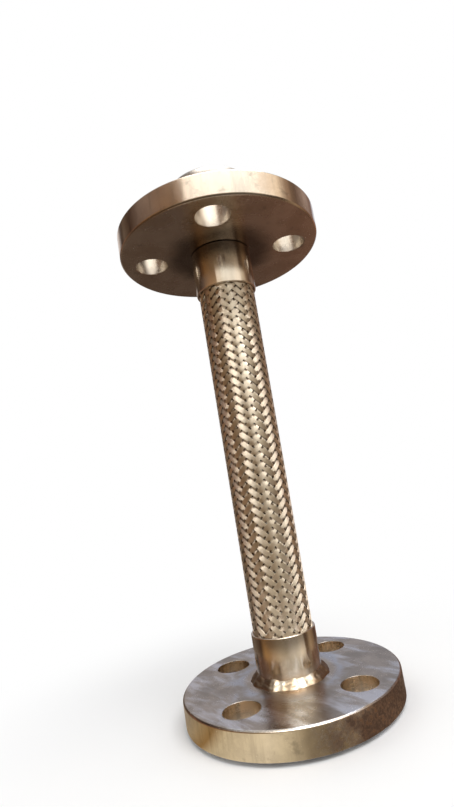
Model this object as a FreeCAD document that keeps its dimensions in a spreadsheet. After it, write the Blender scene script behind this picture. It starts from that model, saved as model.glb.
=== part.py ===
import FreeCAD, Part
import Sketcher
import math
import os

# Braided stainless steel hose assembly, DN20, 250 mm between its two gasket faces.
# It stands on its fixed flange: +Z is the hose axis and the origin is the middle of the
# lower gasket face. Lengths are in millimetres and angles in degrees.
SIZES = {
    # Flanges, drilled to the class 150 pattern for a 3/4 inch pipe
    "flange_diameter": 98.4,
    "flange_thickness": 11.1,
    "flange_bevel": 0.7,
    "bolt_circle": 69.9,
    "bolt_hole": 15.9,
    "bolt_count": 4,
    "gasket_face_diameter": 42.9,
    "raised_face_height": 1.6,
    "fixed_turn": 45.0,
    "loose_turn": 82.6,
    # Stub end that holds the loose flange
    "stub_reach": 34.1,
    "stub_diameter": 26.7,
    "stub_wall": 2.1,
    "lap_thickness": 3.0,
    "lap_bevel": 3.0,
    # Hose with its collars, measured from the fixed flange to the end of the upper collar
    "hose_span": 203.2,
    "collar_wall": 0.9,
    "collar_length": 20.4,
    "cap_weld_height": 1.8,
    "fillet_weld_leg": 4.4,
    "fillet_weld_bulge": 0.62,
    "fillet_weld_ripples": 24,
    "ripple_depth": 0.3,
    # Corrugated tube
    "tube_bore": 20.4,
    "tube_crest": 26.0,
    "tube_wall": 0.3,
    "tube_cuff": 6.0,
    "tube_sides": 12,
    "corrugation_count": 24,
    # Wire braid: half of its plaits wind each way
    "plait_count": 40,
    "plait_pitch": 4.3,
    "plait_relief": 0.45,
    "braid_wall": 0.75,
    "braid_turn": 31.7,
    # Clearances: tube to braid, braid to collar, loose flange to collar end and to stub end,
    # its bevel to the flare, and the step from the tube's bore to the fixed flange's
    "tube_clearance": 0.1,
    "braid_clearance": 0.05,
    "seat_clearance": 0.3,
    "turning_clearance": 0.75,
    "flare_clearance": 0.2,
    "bore_step": 0.25,
}

doc = FreeCAD.newDocument("hose_assembly")
sheet = doc.addObject("Spreadsheet::Sheet", "Sizes")
for row, (alias, number) in enumerate(SIZES.items(), start=1):
    sheet.set(f"A{row}", alias)
    sheet.set(f"B{row}", str(number))
    sheet.setAlias(f"B{row}", alias)
doc.recompute()


def size(alias):
    """Current number of one cell of the sheet."""
    return float(sheet.get(alias))


# Heights along the hose, each from the same cells as the pieces that meet there
FLANGE_TOP = "(Sizes.raised_face_height + Sizes.flange_thickness)"
TUBE_START = f"({FLANGE_TOP} + Sizes.cap_weld_height)"
COLLAR_END = f"({FLANGE_TOP} + Sizes.hose_span)"
TUBE_END = f"({COLLAR_END} - Sizes.cap_weld_height)"

# Diameters outwards from the tube, each round the one before
BRAID_OUTSIDE = "(Sizes.tube_crest + 2 * Sizes.tube_clearance + 2 * Sizes.braid_wall)"
COLLAR_BORE = f"({BRAID_OUTSIDE} + 2 * Sizes.braid_clearance)"
COLLAR_OUTSIDE = f"({COLLAR_BORE} + 2 * Sizes.collar_wall)"
LOOSE_BORE = "(Sizes.stub_diameter + 2 * Sizes.turning_clearance)"

# A sketch is first drawn with these, before its constraints take the sizes of the sheet
DRAWN_RADIUS = 5.0
DRAWN_OFFSET = 10.0


def origin_feature(body, role):
    """The body's own origin plane or axis with this role."""
    return next(f for f in body.Origin.OriginFeatures if f.Role == role)


def new_body(label, height="0", turn="0"):
    """A body for one piece, set at its height on the hose axis and turned about it."""
    body = doc.addObject("PartDesign::Body", label)
    body.Label = label
    body.Placement.Rotation = FreeCAD.Rotation(FreeCAD.Vector(0, 0, 1), 1)
    body.setExpression("Placement.Base.z", height)
    body.setExpression("Placement.Rotation.Angle", turn)
    return body


def circles(body, name, diameters, height="0", off_axis=None):
    """A sketch across the hose axis with circles of these diameters."""
    sketch = body.newObject("Sketcher::SketchObject", name)
    sketch.AttachmentSupport = [(origin_feature(body, "XY_Plane"), "")]
    sketch.MapMode = "FlatFace"
    sketch.setExpression("AttachmentOffset.Base.z", height)
    for index, diameter in enumerate(diameters):
        drawn = DRAWN_RADIUS + index
        centre = FreeCAD.Vector(DRAWN_OFFSET if off_axis else 0, 0, 0)
        sketch.addGeometry(Part.Circle(centre, FreeCAD.Vector(0, 0, 1), drawn))
        if off_axis:
            sketch.addConstraint(Sketcher.Constraint("PointOnObject", index, 3, -1))
            place = sketch.addConstraint(Sketcher.Constraint("DistanceX", -1, 1, index, 3, DRAWN_OFFSET))
            sketch.setExpression(f"Constraints[{place}]", off_axis)
        else:
            sketch.addConstraint(Sketcher.Constraint("Coincident", index, 3, -1, 1))
        width = sketch.addConstraint(Sketcher.Constraint("Diameter", index, 2 * drawn))
        sketch.setExpression(f"Constraints[{width}]", diameter)
    return sketch


def pad(body, name, diameters, length, height="0"):
    """A disc, or a ring when two diameters are given."""
    feature = body.newObject("PartDesign::Pad", name)
    feature.Profile = circles(body, f"{name}_outline", diameters, height)
    feature.setExpression("Length", length)
    doc.recompute()
    return feature


def drill(body, name, diameter, off_axis=None):
    """A round hole right through the body, upwards from its lowest plane."""
    solid_before = body.Shape.Volume
    feature = body.newObject("PartDesign::Pocket", name)
    feature.Profile = circles(body, f"{name}_outline", [diameter], "0", off_axis)
    feature.Type = "ThroughAll"
    feature.Reversed = True
    doc.recompute()
    if feature.Shape.Volume >= solid_before:
        raise RuntimeError(f"{name} removes nothing")
    return feature


def round_edges(feature, radius, height):
    """Names of the circular edges of this radius at this height above the body's plane."""
    names = []
    for number, edge in enumerate(feature.Shape.Edges, start=1):
        circle = edge.Curve
        if circle.TypeId != "Part::GeomCircle":
            continue
        if abs(circle.Radius - radius) < 1e-4 and abs(circle.Center.z - height) < 1e-4:
            names.append(f"Edge{number}")
    return names


def bevel(body, name, amount, *places):
    """A bevel of this size on the circular edges at these (radius, height) places."""
    base = body.Tip
    feature = body.newObject("PartDesign::Chamfer", name)
    feature.Base = (base, [edge for place in places for edge in round_edges(base, *place)])
    feature.setExpression("Size", amount)
    doc.recompute()
    return feature


def bolt_holes(body):
    """The bolt holes, evenly spaced on their circle."""
    hole = drill(body, f"{body.Label}_bolt_hole", "Sizes.bolt_hole", "Sizes.bolt_circle / 2")
    pattern = body.newObject("PartDesign::PolarPattern", f"{body.Label}_bolt_holes")
    pattern.Originals = [hole]
    pattern.Axis = (origin_feature(body, "Z_Axis"), [""])
    pattern.Angle = 360
    pattern.setExpression("Occurrences", "Sizes.bolt_count")
    body.Tip = pattern
    doc.recompute()


# Fixed flange: a turned plate with a raised gasket face below and the bore of the pipe
fixed_flange = new_body("fixed_flange", turn="Sizes.fixed_turn")
pad(fixed_flange, "raised_face", ["Sizes.gasket_face_diameter"], "Sizes.raised_face_height")
plate_foot = "Sizes.raised_face_height"
pad(fixed_flange, "fixed_plate", ["Sizes.flange_diameter"], "Sizes.flange_thickness", plate_foot)
drill(fixed_flange, "fixed_flange_bore", "Sizes.tube_bore + 2 * Sizes.bore_step")
bolt_holes(fixed_flange)
rim = size("flange_diameter") / 2
plate_top = size("raised_face_height") + size("flange_thickness")
bevel(fixed_flange, "fixed_bevel", "Sizes.flange_bevel", (rim, plate_top))

# Loose flange: a plate that rests on the end of the upper collar and turns on the stub end.
# The mouth of its bore is bevelled to clear the flare behind the lap.
loose_flange = new_body("loose_flange", f"{COLLAR_END} + Sizes.seat_clearance", "Sizes.loose_turn")
pad(loose_flange, "loose_plate", ["Sizes.flange_diameter"], "Sizes.flange_thickness")
drill(loose_flange, "loose_flange_bore", LOOSE_BORE)
bolt_holes(loose_flange)
loose_top = size("flange_thickness")
loose_bore = size("stub_diameter") + 2 * size("turning_clearance")
bevel(loose_flange, "bore_mouth", "Sizes.lap_bevel + Sizes.flare_clearance", (loose_bore / 2, loose_top))
bevel(loose_flange, "loose_bevel", "Sizes.flange_bevel", (rim, 0))

# Stub end: a short pipe with a flared lap, whose top is the upper gasket face
stub_end = new_body("stub_end", COLLAR_END)
pad(stub_end, "barrel", ["Sizes.stub_diameter"], "Sizes.stub_reach")
lap_height = "Sizes.stub_reach - Sizes.lap_thickness"
pad(stub_end, "lap", ["Sizes.gasket_face_diameter"], "Sizes.lap_thickness", lap_height)
drill(stub_end, "stub_bore", "Sizes.stub_diameter - 2 * Sizes.stub_wall")
lap_back = size("stub_reach") - size("lap_thickness")
bevel(stub_end, "flare", "Sizes.lap_bevel", (size("stub_diameter") / 2, lap_back))


def collar(label, height):
    """A band over the braid and the end of the tube."""
    body = new_body(label, height)
    pad(body, f"{label}_band", [COLLAR_OUTSIDE, COLLAR_BORE], "Sizes.collar_length")
    return body


lower_collar = collar("lower_collar", FLANGE_TOP)
upper_collar = collar("upper_collar", COLLAR_END)
upper_collar.Placement.Rotation = FreeCAD.Rotation(FreeCAD.Vector(1, 0, 0), 180)
upper_collar.setExpression("Placement.Rotation.Angle", "180")


def at(radius, angle, height):
    """The point at this radius and height, the angle in degrees round the hose axis."""
    turn = math.radians(angle)
    return FreeCAD.Vector(radius * math.cos(turn), radius * math.sin(turn), height)


def facet(*corners):
    """A flat face with these corners."""
    return Part.Face(Part.makePolygon([*corners, corners[0]]))


def halves(first, second, third, fourth):
    """A twisted four-sided patch as two flat halves."""
    return [facet(first, second, third), facet(first, third, fourth)]


def faceted_piece(label, faces, height="0", turn="0"):
    """A piece closed by these flat faces, set at its height on the hose axis."""
    solid = Part.Solid(Part.Shell(faces))
    if solid.Volume < 0:
        solid.reverse()
    piece = doc.addObject("Part::Feature", label)
    piece.Label = label
    piece.Shape = solid
    piece.Placement.Rotation = FreeCAD.Rotation(FreeCAD.Vector(0, 0, 1), 1)
    piece.setExpression("Placement.Base.z", height)
    piece.setExpression("Placement.Rotation.Angle", turn)
    doc.recompute()
    return piece


def turned_faces(outline, sides):
    """Faces of a ring whose section is this outline of (radius, height) corners."""
    faces = []
    step = 360 / sides
    for side in range(sides):
        for (r1, z1), (r2, z2) in zip(outline, outline[1:] + outline[:1]):
            left, right = side * step, (side + 1) * step
            faces.append(facet(at(r1, left, z1), at(r1, right, z1), at(r2, right, z2), at(r2, left, z2)))
    return faces


# Cap welds: rings of weld metal that close the tube, braid and collar at each cut end
tube_sides = round(size("tube_sides"))
braid_inner = size("tube_crest") / 2 + size("tube_clearance")
braid_outer = braid_inner + size("braid_wall")
bore = size("tube_bore") / 2
cap_height = size("cap_weld_height")
cap_outline = [(bore, 0), (braid_outer, 0), (braid_outer, cap_height), (bore, cap_height)]
for label, height in (("lower_cap_weld", FLANGE_TOP), ("upper_cap_weld", TUBE_END)):
    faceted_piece(label, turned_faces(cap_outline, tube_sides), height)

# Corrugated tube: a thin wall folded into ring-shaped corrugations between two plain cuffs.
# It has flat sides, and so does the braid, because their shapes repeat so often.
tube_length = size("hose_span") - 2 * cap_height
folds = round(size("corrugation_count"))
fold_height = (tube_length - 2 * size("tube_cuff")) / folds
outside = [(bore + size("tube_wall"), 0)]
inside = [(bore, 0)]
for fold in range(folds):
    foot = size("tube_cuff") + fold * fold_height
    middle = foot + fold_height / 2
    outside += [(bore + size("tube_wall"), foot), (size("tube_crest") / 2, middle)]
    inside += [(bore, foot), (size("tube_crest") / 2 - size("tube_wall"), middle)]
last_foot = tube_length - size("tube_cuff")
outside += [(bore + size("tube_wall"), last_foot), (bore + size("tube_wall"), tube_length)]
inside += [(bore, last_foot), (bore, tube_length)]
faceted_piece("corrugated_tube", turned_faces(outside + inside[::-1], tube_sides), TUBE_START)

# Fillet weld: the rippled bead in the corner between the lower collar and the fixed flange.
# Its steps round the collar are alternately the crest and the valley of a ripple.
steps = 2 * round(size("fillet_weld_ripples"))
weld_step = 360 / steps
collar_outer = braid_outer + size("braid_clearance") + size("collar_wall")
weld_root = collar_outer / math.cos(math.radians(weld_step / 2))
sections = []
for step in range(steps):
    leg = size("fillet_weld_leg") - step % 2 * size("ripple_depth")
    crown = leg * size("fillet_weld_bulge")
    outline = [(weld_root, 0), (weld_root + leg, 0), (weld_root + crown, crown), (weld_root, leg)]
    sections.append([at(radius, step * weld_step, height) for radius, height in outline])
weld_faces = []
for section, following in zip(sections, sections[1:] + sections[:1]):
    for corner in range(4):
        after = (corner + 1) % 4
        weld_faces += halves(section[corner], following[corner], following[after], section[after])
faceted_piece("fillet_weld", weld_faces, FLANGE_TOP)

# Wire braid: a wall of woven plaits, half of them winding each way. Each plait passes over two
# others, then under two, so the wall shows a herringbone of floats, each twice as long as wide.
# The points where four plaits meet lie on a grid of columns and rows, half a plait apart, and a
# float is a hump over six of them.
columns = round(size("plait_count"))
column_angle = 360 / columns
row_height = size("plait_pitch") / 2
braid_valley = braid_outer - size("plait_relief")
open_length = size("hose_span") - 2 * size("collar_length")
float_rows = 2 * math.ceil(open_length / size("plait_pitch"))
first_row = tube_length / 2 / row_height - float_rows / 2


def braid_point(column, row, radius):
    """The point of the braid's grid at this column and row, counted from the lowest float."""
    return at(radius, column * column_angle, (first_row + row) * row_height)


def float_faces(column, row, lean):
    """The hump of the float that leans up, 1, or down, -1, from this column to the right."""
    path = ((-1, 0), (0, lean * -1), (1, 0), (2, lean), (1, 2 * lean), (0, lean))
    rim = [braid_point(column + across, row + up, braid_valley) for across, up in path]
    top = braid_point(column + 0.5, row + lean / 2, braid_outer)
    return [facet(top, here, there) for here, there in zip(rim, rim[1:] + rim[:1])]


def rows_below(column):
    """How many rows the weave's lowest edge dips at this side of a column."""
    return 2 - abs((column + 1) % 4 - 2)


braid_faces = []
for row in range(0, float_rows + 1, 2):
    for column in range(0, columns, 4):
        braid_faces += float_faces(column, row, -1)
        braid_faces += float_faces(column + 2, row, 1)
for column in range(columns):
    left, right = column * column_angle, (column + 1) * column_angle
    dips = [rows_below(column), rows_below(column + 1)]
    low = [(first_row - dip) * row_height for dip in dips]
    high = [(first_row + float_rows + 2 - dip) * row_height for dip in dips]
    for end, edge in ((0, low), (tube_length, high)):
        plain = [at(braid_valley, left, end), at(braid_valley, right, end)]
        plain += [at(braid_valley, right, edge[1]), at(braid_valley, left, edge[0])]
        ring = [at(braid_inner, left, end), at(braid_inner, right, end)]
        braid_faces += [facet(*plain), facet(*ring, plain[1], plain[0])]
    inner_wall = [at(braid_inner, left, 0), at(braid_inner, right, 0)]
    inner_wall += [at(braid_inner, right, tube_length), at(braid_inner, left, tube_length)]
    braid_faces.append(facet(*inner_wall))
faceted_piece("wire_braid", braid_faces, TUBE_START, "Sizes.braid_turn")

# Check every object, then write each piece
for item in doc.Objects:
    if "Invalid" in item.State or "Error" in item.State:
        raise RuntimeError(f"{item.Label} failed: {item.State}")
pieces = [item for item in doc.Objects if item.TypeId in ("PartDesign::Body", "Part::Feature")]
os.makedirs("parts", exist_ok=True)
for piece in pieces:
    if piece.Shape.isNull() or not piece.Shape.isValid():
        raise RuntimeError(f"{piece.Label} has no valid shape")
    piece.Shape.exportStep(f"parts/{piece.Label}.step")
    print(piece.Label, len(piece.Shape.Solids), round(piece.Shape.Volume, 1), piece.Shape.BoundBox)
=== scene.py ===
import bpy
import math
import numpy as np
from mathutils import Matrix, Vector, noise


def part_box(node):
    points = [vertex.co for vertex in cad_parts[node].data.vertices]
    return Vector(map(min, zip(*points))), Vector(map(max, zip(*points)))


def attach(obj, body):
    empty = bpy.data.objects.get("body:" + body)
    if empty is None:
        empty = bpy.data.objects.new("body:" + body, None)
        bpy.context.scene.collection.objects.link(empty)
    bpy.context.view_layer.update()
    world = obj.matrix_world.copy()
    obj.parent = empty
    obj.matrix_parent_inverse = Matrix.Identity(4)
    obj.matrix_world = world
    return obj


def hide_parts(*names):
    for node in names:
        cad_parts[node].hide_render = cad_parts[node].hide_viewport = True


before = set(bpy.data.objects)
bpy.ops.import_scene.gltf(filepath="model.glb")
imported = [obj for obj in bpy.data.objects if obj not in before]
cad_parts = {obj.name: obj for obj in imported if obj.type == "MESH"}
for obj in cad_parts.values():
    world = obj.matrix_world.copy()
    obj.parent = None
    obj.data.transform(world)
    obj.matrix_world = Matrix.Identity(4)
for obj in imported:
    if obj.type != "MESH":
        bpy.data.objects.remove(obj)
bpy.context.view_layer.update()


# Fixed flange: a plate turned from forged stainless steel and drilled for four bolts, with a
# raised gasket face below. Its faces are satin with fine turning lines, and the heat of the
# weld has left a pale bluish bloom round the hose.
def in_mm(box):
    """The lowest and the highest corner of a box, in millimetres."""
    return [corner * 1000 for corner in box]


def skin(rings, closed=True, capped=True):
    """Points and faces over rings of points, shaped (rings, points, 3). The last ring joins
    the first where closed; otherwise both end rings are filled where capped."""
    rings = np.asarray(rings)
    many, corners = rings.shape[:2]
    here = np.arange(many * corners).reshape(many, corners)
    after = np.roll(here, -1, axis=0)
    caps = []
    if capped and not closed:
        caps = [here[0].tolist(), here[-1, ::-1].tolist()]
    if not closed:
        here, after = here[:-1], after[:-1]
    quads = np.stack([here, after, np.roll(after, -1, axis=1), np.roll(here, -1, axis=1)], axis=-1)
    return rings.reshape(-1, 3), quads.reshape(-1, 4).tolist() + caps


def mesh_of(name, skins, crease=40):
    """One smooth mesh of these skins, with sharp edges over this angle in degrees."""
    points, faces = [], []
    for skin_points, skin_faces in skins:
        first = sum(len(done) for done in points)
        points.append(skin_points)
        faces += [[first + corner for corner in face] for face in skin_faces]
    mesh = bpy.data.meshes.new(name)
    mesh.from_pydata(np.concatenate(points).tolist(), [], faces)
    mesh.shade_smooth()
    mesh.set_sharp_from_angle(angle=math.radians(crease))
    return mesh


def eased(corners, steps=4):
    """The outline with each (radius, height, easing) corner rounded off over its easing."""
    outline = []
    for index, (radius, height, easing) in enumerate(corners):
        corner = Vector((radius, height))
        if not easing:
            outline.append(corner)
            continue
        back = Vector(corners[index - 1][:2]) - corner
        on = Vector(corners[(index + 1) % len(corners)][:2]) - corner
        start, end = corner + back.normalized() * easing, corner + on.normalized() * easing
        for step in range(steps + 1):
            part = step / steps
            outline.append(start * (1 - part) ** 2 + corner * 2 * part * (1 - part) + end * part ** 2)
    return outline


def turned(outline, sides=180):
    """The skin of a ring turned from this outline of (radius, height) points in millimetres."""
    radius, height = np.array(outline).T / 1000
    turn = np.arange(sides)[:, None] * 2 * math.pi / sides
    rings = [radius * np.cos(turn), radius * np.sin(turn), np.broadcast_to(height, (sides, len(height)))]
    return skin(np.stack(rings, axis=-1))


def circle(radius, height, sides, centre=(0, 0)):
    """This many points round a level circle."""
    turn = np.arange(sides) * 2 * math.pi / sides
    x = centre[0] + radius * np.cos(turn)
    y = centre[1] + radius * np.sin(turn)
    return np.stack([x, y, np.full(sides, height)], axis=-1)


def placed(name, data):
    """A new object in the scene with this mesh, lamp or camera."""
    made = bpy.data.objects.new(name, data)
    bpy.context.scene.collection.objects.link(made)
    return made


def piece(mesh, body, material, slot, *nodes):
    """Places the mesh as an object that rides on this body and stands for these nodes."""
    made = placed(mesh.name, mesh)
    mesh.materials.append(material)
    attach(made, body)
    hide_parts(*nodes)


def drilled(mesh, low, high, first_angle):
    """The plate's mesh with four bolt holes from this low to this high in millimetres, the
    first at this angle in degrees, and with the sharp edges taken off their mouths."""
    circle_radius, hole_radius, sides = 34.95, 7.95, 64
    deburr, over = 0.35, 0.2
    mouth = hole_radius + deburr + over
    cutter_outline = [(mouth, high + over), (hole_radius, high - deburr),
                      (hole_radius, low + deburr), (mouth, low - over)]
    cuts = []
    for quarter in range(4):
        angle = math.radians(first_angle + 90 * quarter)
        centre = (circle_radius * math.cos(angle), circle_radius * math.sin(angle))
        rings = [circle(radius, height, sides, centre) / 1000 for radius, height in cutter_outline]
        cuts.append(skin(rings, closed=False))
    name = mesh.name
    cutter = placed("cutter", mesh_of("cutter", cuts))
    plate = placed("plate", mesh)
    cut = plate.modifiers.new("cut", "BOOLEAN")
    cut.operation, cut.solver, cut.object = "DIFFERENCE", "EXACT", cutter
    plate.modifiers.new("flats", "WEIGHTED_NORMAL").keep_sharp = True
    graph = bpy.context.evaluated_depsgraph_get()
    done = bpy.data.meshes.new_from_object(
        plate.evaluated_get(graph), preserve_all_data_layers=True, depsgraph=graph)
    for made in (cutter, plate):
        spare = made.data
        bpy.data.objects.remove(made)
        bpy.data.meshes.remove(spare)
    done.name = name
    return done


class Shade:
    """One socket of a material's nodes. Python's operators on it add Math nodes."""

    def __init__(self, tree, socket=None):
        self.tree = tree
        self.socket = socket

    def node(self, kind, settings, sockets, output=0):
        """One output of a new node: its settings first, a ramp's (position, colour) stops among
        them, and then the values or links of its sockets."""
        made = self.tree.nodes.new(f"ShaderNode{kind}")
        for name, value in settings.items():
            if name != "stops":
                setattr(made, name, value)
                continue
            steps = made.color_ramp.elements
            while len(steps) < len(value):
                steps.new(1.0)
            for step, (position, colour) in zip(steps, value):
                step.position, step.color = position, (*colour, 1)
        for key, value in sockets.items():
            if isinstance(value, Shade):
                self.tree.links.new(value.socket, made.inputs[key])
            else:
                made.inputs[key].default_value = value
        return Shade(self.tree, made.outputs[output])

    def out(self, output):
        """Another output of the same node."""
        return Shade(self.tree, self.socket.node.outputs[output])

    def math(self, operation, *values):
        """A Math node on these values."""
        return self.node("Math", {"operation": operation}, dict(enumerate(values)))

    def __add__(self, other):
        return self.math("ADD", self, other)

    def __sub__(self, other):
        return self.math("SUBTRACT", self, other)

    def __rsub__(self, other):
        return self.math("SUBTRACT", other, self)

    def __mul__(self, other):
        return self.math("MULTIPLY", self, other)

    def __truediv__(self, other):
        return self.math("DIVIDE", self, other)

    def __pow__(self, other):
        return self.math("POWER", self, other)

    def __mod__(self, other):
        return self.math("FLOORED_MODULO", self, other)

    def __abs__(self):
        return self.math("ABSOLUTE", self)

    __radd__ = __add__
    __rmul__ = __mul__


def fade(value, low, high):
    """Rises smoothly from 0 at low to 1 at high."""
    return value.node("MapRange", {"interpolation_type": "SMOOTHSTEP"}, {0: value, 1: low, 2: high})


def mix(share, first, second):
    """The first colour where the share is 0 and the second where it is 1. Sockets 6 and 7 and
    output 2 are the Mix node's colours."""
    ends = [end if isinstance(end, Shade) else (*end, 1) for end in (first, second)]
    return share.node("Mix", {"data_type": "RGBA"}, {0: share, 6: ends[0], 7: ends[1]}, 2)


def scaled(vector, factor):
    """The place or colour times this factor."""
    return vector.node("VectorMath", {"operation": "SCALE"}, {0: vector, "Scale": factor})


def stretched(place, x, y, z):
    """The place with each of its axes scaled."""
    return place.node("VectorMath", {"operation": "MULTIPLY"}, {0: place, 1: (x, y, z)})


def axes_of(place):
    """The x, y and z of a place."""
    split = place.node("SeparateXYZ", {}, {0: place})
    return [split.out(axis) for axis in range(3)]


def from_axis(x, y):
    """The distance from the hose's axis."""
    return (x * x + y * y) ** 0.5


def angle_round(x, y):
    """The angle round the hose's axis, in radians from the x axis."""
    return y.math("ARCTAN2", y, x)


def cloud(place, scale, detail=3.0, rough=0.5, seed=0.0):
    """Cloudy noise round 0.5, this many features to the millimetre."""
    moved = place.node("VectorMath", {"operation": "ADD"}, {0: place, 1: (seed, seed, seed)})
    return place.node(
        "TexNoise", {}, {"Vector": moved, "Scale": scale, "Detail": detail, "Roughness": rough})


def tool_lines(at, scale, detail=2.0):
    """Noise round 0.5 that varies along one measure only, this many lines to its millimetre."""
    return at.node("TexNoise", {"noise_dimensions": "1D"}, {"W": at, "Scale": scale, "Detail": detail})


def blank(name):
    """A new material, and the place on it in metres from the origin of its object."""
    material = bpy.data.materials.new(name)
    material.use_nodes = True
    return material, Shade(material.node_tree).node("TexCoord", {}, {}, "Object")


def metal(name):
    """A new steel, and the place on it in millimetres."""
    material, place = blank(name)
    return material, scaled(place, 1000.0)


def dress(material, colour, roughness, height=None, depth=0.0, bare=None):
    """Gives the steel its colour, roughness and relief, whose depth is in metres, and the
    share of it that is bare metal."""
    shader = material.node_tree.nodes["Principled BSDF"]
    shader.inputs["Metallic"].default_value = 1.0
    links = {"Base Color": colour, "Roughness": roughness}
    if bare:
        links["Metallic"] = bare
    if height:
        links["Normal"] = height.node("Bump", {}, {"Strength": 1.0, "Distance": depth, "Height": height})
    for name, value in links.items():
        value.tree.links.new(value.socket, shader.inputs[name])


def plate_steel(name, clean, stained, walls, bloom, toe_tone, weathered):
    """Turned, satin stainless steel with stains, hole walls of their own tone, a heat bloom and painted
    shade on its faces near the bore.
    Where weathered, its face is dull and smeared, and soil is baked on to one side of its rim."""
    hole_walls_within, toe_ends = (48.2, 47.4), (21.0, 32.0)
    bloom_starts, bloom_ends = (19.0, 23.0), (27.0, 38.0)
    material, place = metal(name)
    x, y, z = axes_of(place)
    radius, angle = from_axis(x, y), angle_round(x, y)
    up = abs(axes_of(place.node("TexCoord", {}, {}, "Normal"))[2])
    face = fade(up, 0.6, 0.8)
    inside = fade(radius, *hole_walls_within) * (1 - face)
    lines = tool_lines(radius * face + z * (1 - face), 3.0)
    clouds = fade(cloud(place, 0.07, 5.0, 0.62), 0.3, 0.7)
    stains = cloud(place, 0.16, 4.0, 0.65, 40.0)
    streaks = cloud(stretched(place, 1.0, 1.0, 0.08), 0.25, 4.0, 0.6, 9.0)
    colour = mix(clouds, clean, stained)
    colour = mix(fade(stains, 0.56, 0.72) * 0.6, colour, [tone * 0.45 for tone in clean])
    # Painted shade: the faces darken towards the bore, where the plate meets the hose or lies under the
    # stub's lap.
    toe = (1 - fade(radius + 3.0 * clouds, *toe_ends)) * face
    if weathered:
        pale_dull, dark_dull, smear_blue = (0.44, 0.40, 0.37), (0.25, 0.235, 0.23), (0.78, 0.82, 0.92)
        toe_angle = -1.6
        wiped = place.node("VectorRotate", {"rotation_type": "Z_AXIS"}, {"Vector": place, "Angle": 1.0})
        smears = fade(cloud(stretched(wiped, 0.3, 1.0, 1.0), 0.1, 4.0, 0.6, 20.0), 0.45, 0.65) * face
        colour = mix(0.8 * face, colour, mix(clouds, pale_dull, dark_dull))
        colour = mix(smears * 0.75, colour, smear_blue)
        # Where weathered, the painted shade is kept to one side round the axis and is faint elsewhere.
        toe = toe * (1 - 0.8 * fade(abs(angle - toe_angle), 0.3, 0.7))
    ring = fade(radius, *bloom_starts) * (1 - fade(radius + clouds * 14.0, *bloom_ends)) * face
    colour = mix(ring * 0.8, colour, bloom)
    colour = mix(inside, colour, walls)
    colour = mix(fade(streaks, 0.46, 0.66) * (1 - face) * 0.5, colour, [tone * 0.6 for tone in clean])
    colour = mix(toe * 0.75, colour, toe_tone)
    roughness = 0.09 + 0.1 * face + 0.09 * clouds + 0.04 * ring + 0.06 * lines + 0.1 * inside
    bare = None
    if weathered:
        brown_soil, black_soil = (0.25, 0.145, 0.09), (0.06, 0.032, 0.02)
        soil_starts, soil_ends = (-1.4, -1.0), (-0.3, 0.1)
        side = fade(angle + 0.3 * clouds, *soil_starts) * (1 - fade(angle, *soil_ends))
        side = side * (1 - face) * (1 - inside)
        soil = side * fade(cloud(place, 0.8, 5.0, 0.75, 70.0) + 0.12 * side, 0.40, 0.72)
        colour = mix(side * 0.95, colour, brown_soil)
        colour = mix(soil * 0.95, colour, black_soil)
        roughness = roughness + 0.4 * soil
        bare = 1 - 0.5 * soil
    dress(material, colour, roughness, lines + 0.5 * streaks, depth=0.000004, bare=bare)
    return material


fixed_high = in_mm(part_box("fixed_flange"))[1]
rim, rim_bevel = fixed_high.x, 0.7
flow_bore, gasket_radius, gasket_step = 10.45, 21.45, 1.6
fixed_outline = eased([
    (flow_bore, 0, 0.2), (gasket_radius, 0, 0.3), (gasket_radius, gasket_step, 0), (rim, gasket_step, 0.4),
    (rim, fixed_high.z - rim_bevel, 0.25), (rim - rim_bevel, fixed_high.z, 0.25),
    (flow_bore, fixed_high.z, 0.2)])
plate = mesh_of("fixed_plate", [turned(fixed_outline)])
plate = drilled(plate, gasket_step, fixed_high.z, first_angle=45)
satin = plate_steel(
    "satin_plate_steel", clean=(0.76, 0.68, 0.57), stained=(0.56, 0.50, 0.43), walls=(0.80, 0.66, 0.50),
    bloom=(0.50, 0.57, 0.70), toe_tone=(0.36, 0.26, 0.17), weathered=True)
piece(plate, "hose", satin, "forged_steel", "fixed_flange")


# Loose flange: the same plate with a plain bore, bevelled above to clear the flare of the stub
# end. Nothing holds it there, so it turns freely.
loose_low, loose_high = in_mm(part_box("loose_flange"))
loose_bore, recess_radius, recess_depth = 14.1, 17.3, 3.2
loose_outline = eased([
    (loose_bore, loose_low.z, 0.25), (rim - rim_bevel, loose_low.z, 0.25),
    (rim, loose_low.z + rim_bevel, 0.25), (rim, loose_high.z, 0.4),
    (recess_radius, loose_high.z, 0.2), (loose_bore, loose_high.z - recess_depth, 0.2)])
plate = mesh_of("loose_plate", [turned(loose_outline)])
plate = drilled(plate, loose_low.z, loose_high.z, first_angle=82.6)
warm = plate_steel(
    "warm_plate_steel", clean=(0.74, 0.67, 0.59), stained=(0.57, 0.48, 0.40), walls=(0.60, 0.54, 0.47),
    bloom=(0.62, 0.55, 0.47), toe_tone=(0.05, 0.03, 0.02), weathered=False)
piece(plate, "turning_flange", warm, "forged_steel", "loose_flange")


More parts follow.
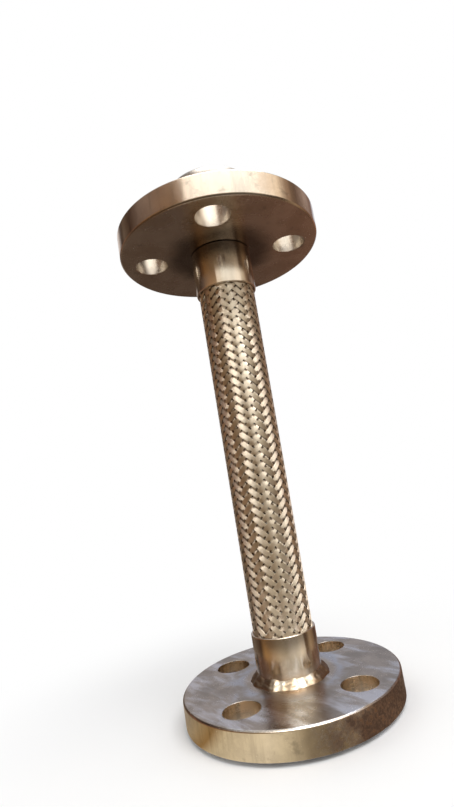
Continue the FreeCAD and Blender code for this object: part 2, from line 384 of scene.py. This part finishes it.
# Stub end: a short pickled pipe with its end flared out into a lap, which holds the loose
# flange. Its root is rounded, and the lap's face is finely turned.
stub_low, stub_high = in_mm(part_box("stub_end"))
stub_bore, barrel, lap_radius = 11.25, 13.35, stub_high.x
lap_thickness, fillet, fillet_steps = 3, 3, 8
lap_back = stub_high.z - lap_thickness
rounded = []
for number in range(fillet_steps + 1):
    turn = math.radians(180 - 90 * number / fillet_steps)
    across, up = fillet * math.cos(turn), fillet * math.sin(turn)
    rounded.append((barrel + fillet + across, lap_back - fillet + up, 0))
stub_outline = eased([
    (stub_bore, stub_low.z, 0.2), (barrel, stub_low.z, 0.2), *rounded,
    (lap_radius, lap_back, 0.3), (lap_radius, stub_high.z, 0.5), (stub_bore, stub_high.z, 0.3)])
pickled, place = metal("pickled_pipe_steel")
x, y, z = axes_of(place)
pale_pickled, dark_pickled = (0.48, 0.46, 0.44), (0.38, 0.36, 0.34)
colour = mix(cloud(place, 0.2), pale_pickled, dark_pickled)
turning = tool_lines(from_axis(x, y) + z, 3.0)
dress(pickled, colour, 0.26 + 0.08 * cloud(place, 0.2), turning, depth=0.000002)
piece(mesh_of("flared_stub", [turned(stub_outline, 144)]), "hose", pickled, "pipe_steel", "stub_end")


# Corrugated tube: thin bright strip rolled and welded into a tube, then pressed into rings.
# It carries the flow, and shows a little through the braid and down the bore.
tube_low, tube_high = in_mm(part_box("corrugated_tube"))
root, crest, wall = 10.5, tube_high.x, 0.3
cuff, folds, fold_steps = 6.0, 24, 8
fold_step = (tube_high.z - tube_low.z - 2 * cuff) / folds / fold_steps
outside = [(root, tube_low.z)]
for number in range(folds * fold_steps + 1):
    swell = 0.5 - 0.5 * math.cos(2 * math.pi * number / fold_steps)
    outside.append((root + (crest - root) * swell, tube_low.z + cuff + number * fold_step))
outside.append((root, tube_high.z))
inside = [(radius - wall, height) for radius, height in reversed(outside)]
strip, place = metal("rolled_strip_steel")
x, y, z = axes_of(place)
crests = fade(from_axis(x, y), 12.0, 12.8)
pale_strip, dark_strip, shaded_crest = (0.50, 0.48, 0.45), (0.36, 0.34, 0.31), (0.03, 0.02, 0.015)
colour = mix(crests, mix(cloud(place, 0.3), pale_strip, dark_strip), shaded_crest)
dress(strip, colour, 0.25 + 0.1 * cloud(place, 1.5) + 0.3 * crests)
piece(mesh_of("folded_tube", [turned(outside + inside, 72)]), "hose", strip, "tube_steel", "corrugated_tube")


# Wire braid: forty flat plaits of eight drawn wires, half of them winding each way, woven on
# a braiding machine over two and under two. Its ends lie under the collars.
braid_low, braid_high = in_mm(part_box("wire_braid"))
columns, row_height, first_row_z, braid_turn = 40, 2.15, 32.6, 31.7
plait_width, wires, mean_radius = 2.4, 8, 13.56
float_rise, flatness, lean_turn = 0.23, 2.4, 0.125
crown, edge_drop, thickness = 0.02, 0.1, 0.3
width_spread, drift_spread = 0.03, 0.06
column_turn = math.radians(360 / columns)
column_arc = column_turn * mean_radius
plait_step = math.hypot(column_arc, row_height)
seeds = np.random.default_rng(12)

# The rows at a plait's stations, close together from just inside one collar to the other.
seen_low_z, seen_high_z, seen_steps = 31, 197.5, 192
end_gap, hidden_steps = 0.4, 7
levels = (braid_low.z, seen_low_z, seen_high_z, braid_high.z)
low_end, seen_low, seen_high, high_end = [(z - first_row_z) / row_height for z in levels]
rows = np.concatenate([
    np.linspace(low_end + end_gap, seen_low, hidden_steps)[:-1],
    np.linspace(seen_low, seen_high, seen_steps)[:-1],
    np.linspace(seen_high, high_end - end_gap, hidden_steps)])

# A plait's flat section, from edge to edge over its top and back underneath.
section = np.array([1, 0.96, 0.5, 0, -0.5, -0.96, -1, -0.9, 0.9])
edges, underside = [0, 6], [7, 8]
dips = crown * section ** 2
dips[edges] += edge_drop
dips[underside] = thickness


def plait(lean, number):
    """The skin of one plait that leans up to the right, 1, or to the left, -1."""
    column = lean * (rows - 2 * number)
    wave = -lean * np.cos(math.pi / 2 * (column - 0.5))
    top = mean_radius + float_rise * np.tanh(flatness * wave) / math.tanh(flatness)
    half = plait_width / 2 * (1 + seeds.uniform(-width_spread, width_spread))
    drift = seeds.uniform(-drift_spread, drift_spread)
    across = half * section + drift
    radius = top[:, None] - dips
    turn = math.radians(braid_turn) + column[:, None] * column_turn
    turn = turn + across * row_height / plait_step / mean_radius
    height = first_row_z + rows[:, None] * row_height - lean * across * column_arc / plait_step
    rings = np.stack([radius * np.cos(turn), radius * np.sin(turn), height], axis=-1)
    return skin(rings / 1000, closed=False)


def brushed(material, turn):
    """Draws out the steel's highlights across its fine lines, turned by this part of a turn."""
    shader = material.node_tree.nodes["Principled BSDF"]
    shader.inputs["Anisotropic"].default_value = 1.0
    shader.inputs["Anisotropic Rotation"].default_value = turn


# The colour between the wires, the plaits' edge colour and the colour underneath are painted shade.
dark_wire, pale_wire, wire_gap = (0.72, 0.63, 0.51), (0.96, 0.87, 0.74), (0.45, 0.37, 0.29)
plait_edge, underneath = (0.16, 0.12, 0.09), (0.02, 0.014, 0.01)
for lean, side in ((-1, "left"), (1, "right")):
    wire, place = metal(f"drawn_wire_{side}")
    x, y, z = axes_of(place)
    radius = from_axis(x, y)
    column = (angle_round(x, y) - math.radians(braid_turn)) * (columns / 2 / math.pi)
    row = (z - first_row_z) / row_height
    across, along = row - lean * column, row + lean * column
    plait_number = (across / 2).math("ROUND", across / 2) % (columns / 2)
    tone = place.node("TexWhiteNoise", {"noise_dimensions": "1D"}, {"W": plait_number})
    fibres = place.node("CombineXYZ", {}, {0: across * 4.7, 1: along * 0.25})
    fibre = place.node(
        "TexNoise", {"noise_dimensions": "2D"}, {"Vector": fibres, "Scale": 1.0, "Detail": 2.0})
    wire_turn = across * (math.pi * wires * column_arc * row_height / plait_step / plait_width)
    wire_lines = abs(wire_turn.math("SINE", wire_turn))
    wave_turn = (column - 0.5) * (math.pi / 2)
    wave = wave_turn.math("COSINE", wave_turn) * (-lean * flatness)
    top = wave.math("TANH", wave) * (float_rise / math.tanh(flatness)) + mean_radius
    bright = mix(0.5 * fibre + 0.35 * tone + 0.15 * cloud(place, 0.08), dark_wire, pale_wire)
    # Painted shade darkens the creases between the wires.
    bright = mix(fade(wire_lines, 0.35, 0.0) * 0.3, bright, wire_gap)
    # Painted shade: the plaits darken down their edges and where they dip under others, and go almost black
    # below the top layer.
    colour = mix(fade(radius - top, -0.16, -0.06), plait_edge, bright)
    colour = mix(fade(radius, 13.0, 13.2), underneath, colour)
    dress(wire, colour, 0.38 + 0.07 * fibre, wire_lines, depth=0.000004)
    brushed(wire, 0.5 - lean * lean_turn)
    plaits = mesh_of(f"plaits_{side}", [plait(lean, number) for number in range(columns // 2)], 60)
    piece(plaits, "hose", wire, "braid_wire", "wire_braid")


# Collars: bands of drawn tube slid over the cut ends of the braid, semi-bright, with an eased
# mouth where the braid comes out.
collar_bore, slight, wide = 13.9, 0.15, 0.55
collar_steel, place = metal("drawn_collar_steel")
x, y, z = axes_of(place)
draw_lines = cloud(stretched(place, 1.0, 1.0, 0.05), 0.5, 3.0)
# Near the weld the collar is straw from the heat and is also painted lighter there: part heat tint, part
# painted light.
scorched = 1 - fade(z + 3.0 * draw_lines, 18.0, 31.0)
pale_collar, dark_collar, straw_collar = (0.80, 0.73, 0.64), (0.70, 0.62, 0.53), (0.95, 0.86, 0.72)
colour = mix(scorched * 0.7, mix(draw_lines, pale_collar, dark_collar), straw_collar)
roughness = 0.10 + 0.04 * draw_lines - 0.01 * scorched
dress(collar_steel, colour, roughness, tool_lines(z, 1.6, 3.0) + draw_lines, depth=0.000002)
brushed(collar_steel, 0.25)
for node, low_ease, high_ease in (("lower_collar", slight, wide), ("upper_collar", wide, slight)):
    low, high = in_mm(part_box(node))
    collar_radius = high.x
    outline = eased([
        (collar_bore, low.z, slight), (collar_radius, low.z, low_ease),
        (collar_radius, high.z, high_ease), (collar_bore, high.z, slight)])
    piece(mesh_of(f"{node}_band", [turned(outline, 128)]), "hose", collar_steel, "collar_steel", node)


# Welds: filler metal laid by hand, shiny and straw-coloured from the heat. Two rings close the
# ends inside the collars, and the lumpy bead joins the lower collar to the fixed flange.
bead_steel, place = metal("weld_bead_steel")
x, y, z = axes_of(place)
heat = cloud(place, 0.25, 3.0)
# Away from one front angle the bead turns brown in patches: partly heat tint, partly painted shade on its
# sides.
clean_angle = -1.5
burnt = fade(abs(angle_round(x, y) - clean_angle + 0.4 * heat), 0.45, 0.7)
burnt = burnt * fade(cloud(place, 0.3, 3.0, 0.6, 31.0), 0.2, 0.4)
pale_straw, dark_straw, burnt_brown = (0.62, 0.55, 0.45), (0.50, 0.39, 0.27), (0.18, 0.115, 0.07)
colour = mix(burnt * 0.85, mix(fade(heat, 0.4, 0.62), pale_straw, dark_straw), burnt_brown)
roughness = 0.26 + 0.16 * cloud(place, 0.6) + 0.05 * burnt
dress(bead_steel, colour, roughness, cloud(place, 0.9), depth=0.00002)
for label in ("lower_cap_weld", "upper_cap_weld"):
    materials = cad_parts[label].data.materials
    materials.clear()
    materials.append(bead_steel)


def bumps_round(angle, scale, seed):
    """Smooth noise, mostly from -1 to 1, that meets itself after one turn."""
    return noise.noise(Vector((scale * math.cos(angle), scale * math.sin(angle), seed)))


weld_low = in_mm(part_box("fillet_weld"))[0]
leg, hollow, sunk = 3.2, 0.27, 0.1
lump_height, grain_height = 0.9, 0.14
ripples, ripple_height, ripple_bow = 54, 0.04, 1.6
stations, section_steps = 432, 14
root_radius = collar_radius - sunk
bead = []
for station in range(stations):
    angle = 2 * math.pi * station / stations
    lumps = bumps_round(angle, 2.2, 4.0) + 0.5 * bumps_round(angle, 6.0, 9.0)
    reach = leg + lump_height * lumps
    ring = []
    for corner in range(section_steps + 1):
        lift = math.radians(90 * corner / section_steps)
        belly = math.sin(2 * lift)
        ripple = abs(math.sin((ripples * angle + ripple_bow * belly) / 2))
        grain = bumps_round(angle, 9, 3 * lift)
        swell = (ripple_height * ripple + grain_height * grain) * belly
        out = reach * (1.0 - hollow * belly) + swell
        ring.append((root_radius + out * math.cos(lift), weld_low.z + out * math.sin(lift)))
    ring.append((root_radius, weld_low.z))
    bead.append([(radius * math.cos(angle) / 1000, radius * math.sin(angle) / 1000, height / 1000)
                 for radius, height in ring])
piece(mesh_of("weld_bead", [skin(bead)], 60), "hose", bead_steel, "weld_metal", "fillet_weld")


# Studio: a pale floor under an even white sky, with one wide soft lamp. Cards lie on the floor
# round the part and stand a metre from it, and are seen only as reflections in its metal.
def to_the_eye(tree):
    """1 for rays that reach the eye, straight, off a shiny face or through glass; otherwise 0."""
    straight = Shade(tree).node("LightPath", {}, {})
    shiny = straight.math("MAXIMUM", straight, straight.out("Is Glossy Ray"))
    return straight.math("MAXIMUM", shiny, straight.out("Is Transmission Ray"))


def band(value, starts, full, fades, ends):
    """Rises smoothly from 0 where it starts to 1 where full, then falls from where it fades."""
    return fade(value, starts, full) * (1 - fade(value, fades, ends))


floor_reach = 3
floor_corners = floor_reach * np.array([(-1, -1, 0), (1, -1, 0), (1, 1, 0), (-1, 1, 0)])
floor = placed("floor", mesh_of("floor", [(floor_corners, [[0, 1, 2, 3]])]))
pale, place = blank("pale_floor")
plain = pale.node_tree.nodes["Principled BSDF"]
plain.inputs["Base Color"].default_value = (0.9, 0.9, 0.9, 1)
plain.inputs["Roughness"].default_value = 0.9
glow = place.node("Emission", {}, {"Color": (1, 1, 1, 1), "Strength": 1.0})
distance = place.node("VectorMath", {"operation": "LENGTH"}, {0: place}, "Value")
glowing = fade(distance, 0.05, 0.2) * to_the_eye(pale.node_tree)
surface = place.node("MixShader", {}, {0: glowing, 1: Shade(pale.node_tree, plain.outputs[0]), 2: glow})
pale.node_tree.links.new(surface.socket, pale.node_tree.nodes["Material Output"].inputs[0])
floor.data.materials.append(pale)

# The cards' x axis points to the side that the photo shows, where around is 0.5. Distances and
# heights on them are in metres.
card_inner, card_outer, card_low, card_high = 0.0495, 1.0, 0.0004, 1.6
card_sides, card_turn = 96, -96.93
rings = [circle(card_inner, card_low, card_sides), circle(card_outer, card_low, card_sides),
         circle(card_outer, card_high, card_sides)]
cards = placed("cards", mesh_of("cards", [skin(rings, closed=False, capped=False)]))
cards.rotation_euler.z = math.radians(card_turn)
card, place = blank("reflection_cards")
card.cycles.emission_sampling = "NONE"
x, y, z = axes_of(place)
reach = from_axis(x, y)
around = angle_round(x, y) / (2 * math.pi) + 0.5
# These stops were worked out from the photo and then changed: the low and high cards'
# from colours read across the two collars, and those beside the rim from colours along it.
low_stops = [
    (0.0, (0.09, 0.06, 0.045)), (0.15, (0.15, 0.11, 0.08)), (0.25, (0.06, 0.03, 0.015)),
    (0.30, (0.50, 0.27, 0.10)), (0.36, (0.47, 0.29, 0.15)), (0.43, (0.56, 0.43, 0.28)),
    (0.50, (0.50, 0.42, 0.30)), (0.54, (0.74, 0.66, 0.54)), (0.61, (0.93, 0.84, 0.68)),
    (0.64, (1.1, 0.97, 0.78)), (0.675, (0.95, 0.82, 0.66)), (0.69, (0.20, 0.13, 0.08)),
    (0.71, (0.16, 0.10, 0.06)), (0.75, (0.44, 0.31, 0.19)), (0.79, (0.30, 0.19, 0.11)),
    (0.85, (0.07, 0.04, 0.03)), (0.93, (0.22, 0.12, 0.08)), (1.0, (0.09, 0.06, 0.045))]
high_stops = [
    (0.0, (0.52, 0.50, 0.52)), (0.09, (0.52, 0.46, 0.43)), (0.13, (0.03, 0.015, 0.01)),
    (0.16, (0.10, 0.07, 0.05)), (0.21, (0.04, 0.02, 0.012)), (0.26, (0.13, 0.09, 0.07)),
    (0.30, (0.18, 0.125, 0.095)), (0.34, (0.18, 0.11, 0.07)), (0.38, (0.19, 0.11, 0.06)),
    (0.42, (0.19, 0.11, 0.06)), (0.425, (0.85, 0.74, 0.63)), (0.50, (1.0, 0.98, 0.90)),
    (0.60, (0.90, 0.87, 0.80)), (0.66, (1.05, 0.97, 0.85)), (0.71, (0.88, 0.73, 0.55)),
    (0.75, (0.26, 0.17, 0.11)), (0.79, (0.10, 0.06, 0.04)), (0.85, (0.29, 0.215, 0.18)),
    (0.90, (0.13, 0.07, 0.05)), (0.92, (0.46, 0.46, 0.50)), (1.0, (0.52, 0.50, 0.52))]
rim_stops = [
    (0.0, (0.12, 0.09, 0.07)), (0.25, (0.26, 0.20, 0.12)), (0.30, (0.40, 0.30, 0.17)),
    (0.34, (0.33, 0.20, 0.08)), (0.37, (0.76, 0.65, 0.45)), (0.45, (0.96, 0.85, 0.65)),
    (0.475, (0.80, 0.70, 0.51)), (0.51, (0.36, 0.29, 0.19)), (0.55, (0.32, 0.25, 0.16)),
    (0.66, (0.55, 0.40, 0.27)), (0.70, (0.20, 0.12, 0.07)), (1.0, (0.12, 0.09, 0.07))]
low_cards, high_cards, beside_rim = [
    place.node("ValToRGB", {"stops": stops}, {0: around}) for stops in (low_stops, high_stops, rim_stops)]
deep_brown, dark_brown = (0.05, 0.03, 0.02), (0.03, 0.02, 0.015)
plain_tan, reddish_brown = (0.46, 0.38, 0.30), (0.38, 0.19, 0.12)
dim_wall, sunlit_wall = (0.6, 0.58, 0.55), (7.6, 7.35, 6.9)
shaded = band(reach, 0.1, 0.15, 0.42, 0.6) * fade(x, -0.1, 0.1)
low_cards = mix(shaded * 0.9, low_cards, deep_brown)
beside_rim = mix(fade(x, 0.03, -0.03), beside_rim, plain_tan)
low_cards = mix(fade(reach, 0.1, 0.07), low_cards, beside_rim)
colour = mix(fade(z - 0.3 * fade(x, -0.2, 0.2), 0.08, 0.28), low_cards, high_cards)
both_sides = fade(abs(around - 0.23), 0.10, 0.05) + fade(abs(around - 0.83), 0.09, 0.04)
colour = mix(band(z, 0.02, 0.08, 0.3, 0.45) * both_sides, colour, reddish_brown)
beside_middle = fade(abs(around - 0.5), 0.04, 0.1) * fade(x, 0.0, 0.3) * band(z, 0.01, 0.05, 0.3, 0.5)
low_ahead = fade(x, 0.3, 0.6) * band(z, 0.0, 0.05, 0.15, 0.35)
colour = mix(0.4 * beside_middle + 0.3 * low_ahead, colour, dark_brown)
high_ahead = band(z, 0.3, 0.45, 0.62, 0.7) * fade(x, 0.3, 0.6)
colour = mix(high_ahead, colour, scaled(colour, 1.35))
colour = mix(fade(z, 0.66, 0.8), colour, scaled(colour, 1.6))
sunlit = mix(fade(abs(around - 0.515), 0.14, 0.06), dim_wall, sunlit_wall)
colour = mix(fade(z, 0.95, 1.1), colour, sunlit)
glow = place.node("Emission", {}, {"Color": colour, "Strength": 1.0})
card.node_tree.links.new(glow.socket, card.node_tree.nodes["Material Output"].inputs[0])
cards.data.materials.append(card)
for ray in ("camera", "diffuse", "transmission", "volume_scatter", "shadow"):
    setattr(cards, f"visible_{ray}", False)

world = bpy.data.worlds.new("white_sky")
world.use_nodes = True
bpy.context.scene.world = world
background = world.node_tree.nodes["Background"]
background.inputs["Color"].default_value = (1, 1, 1, 1)
strength = 0.8 + 0.2 * to_the_eye(world.node_tree)
world.node_tree.links.new(strength.socket, background.inputs["Strength"])

lamp = bpy.data.lights.new("soft_lamp", "AREA")
lamp.shape, lamp.size, lamp.energy = "DISK", 0.9, 8.0
lamp_aim = Vector((0, 0, 0.1))
lamp_object = placed("soft_lamp", lamp)
lamp_object.location = (0.35, -0.5, 1.2)
lamp_object.rotation_euler = (lamp_aim - lamp_object.location).to_track_quat("-Z", "Y").to_euler()

# The camera was fitted to the outlines and the bolt holes in the photo.
camera = bpy.data.cameras.new("camera")
camera.lens, camera.sensor_width = 21.241, 36
camera.shift_x, camera.shift_y = -0.02927, 0.03749
camera.clip_start = 0.005
camera_object = placed("camera", camera)
camera_object.location = (-0.027572, -0.226798, 0.097880)
camera_object.rotation_euler = [math.radians(angle) for angle in (96.704, 9.481, -5.884)]
bpy.context.scene.camera = camera_object
bpy.context.scene.view_settings.view_transform = "Standard"
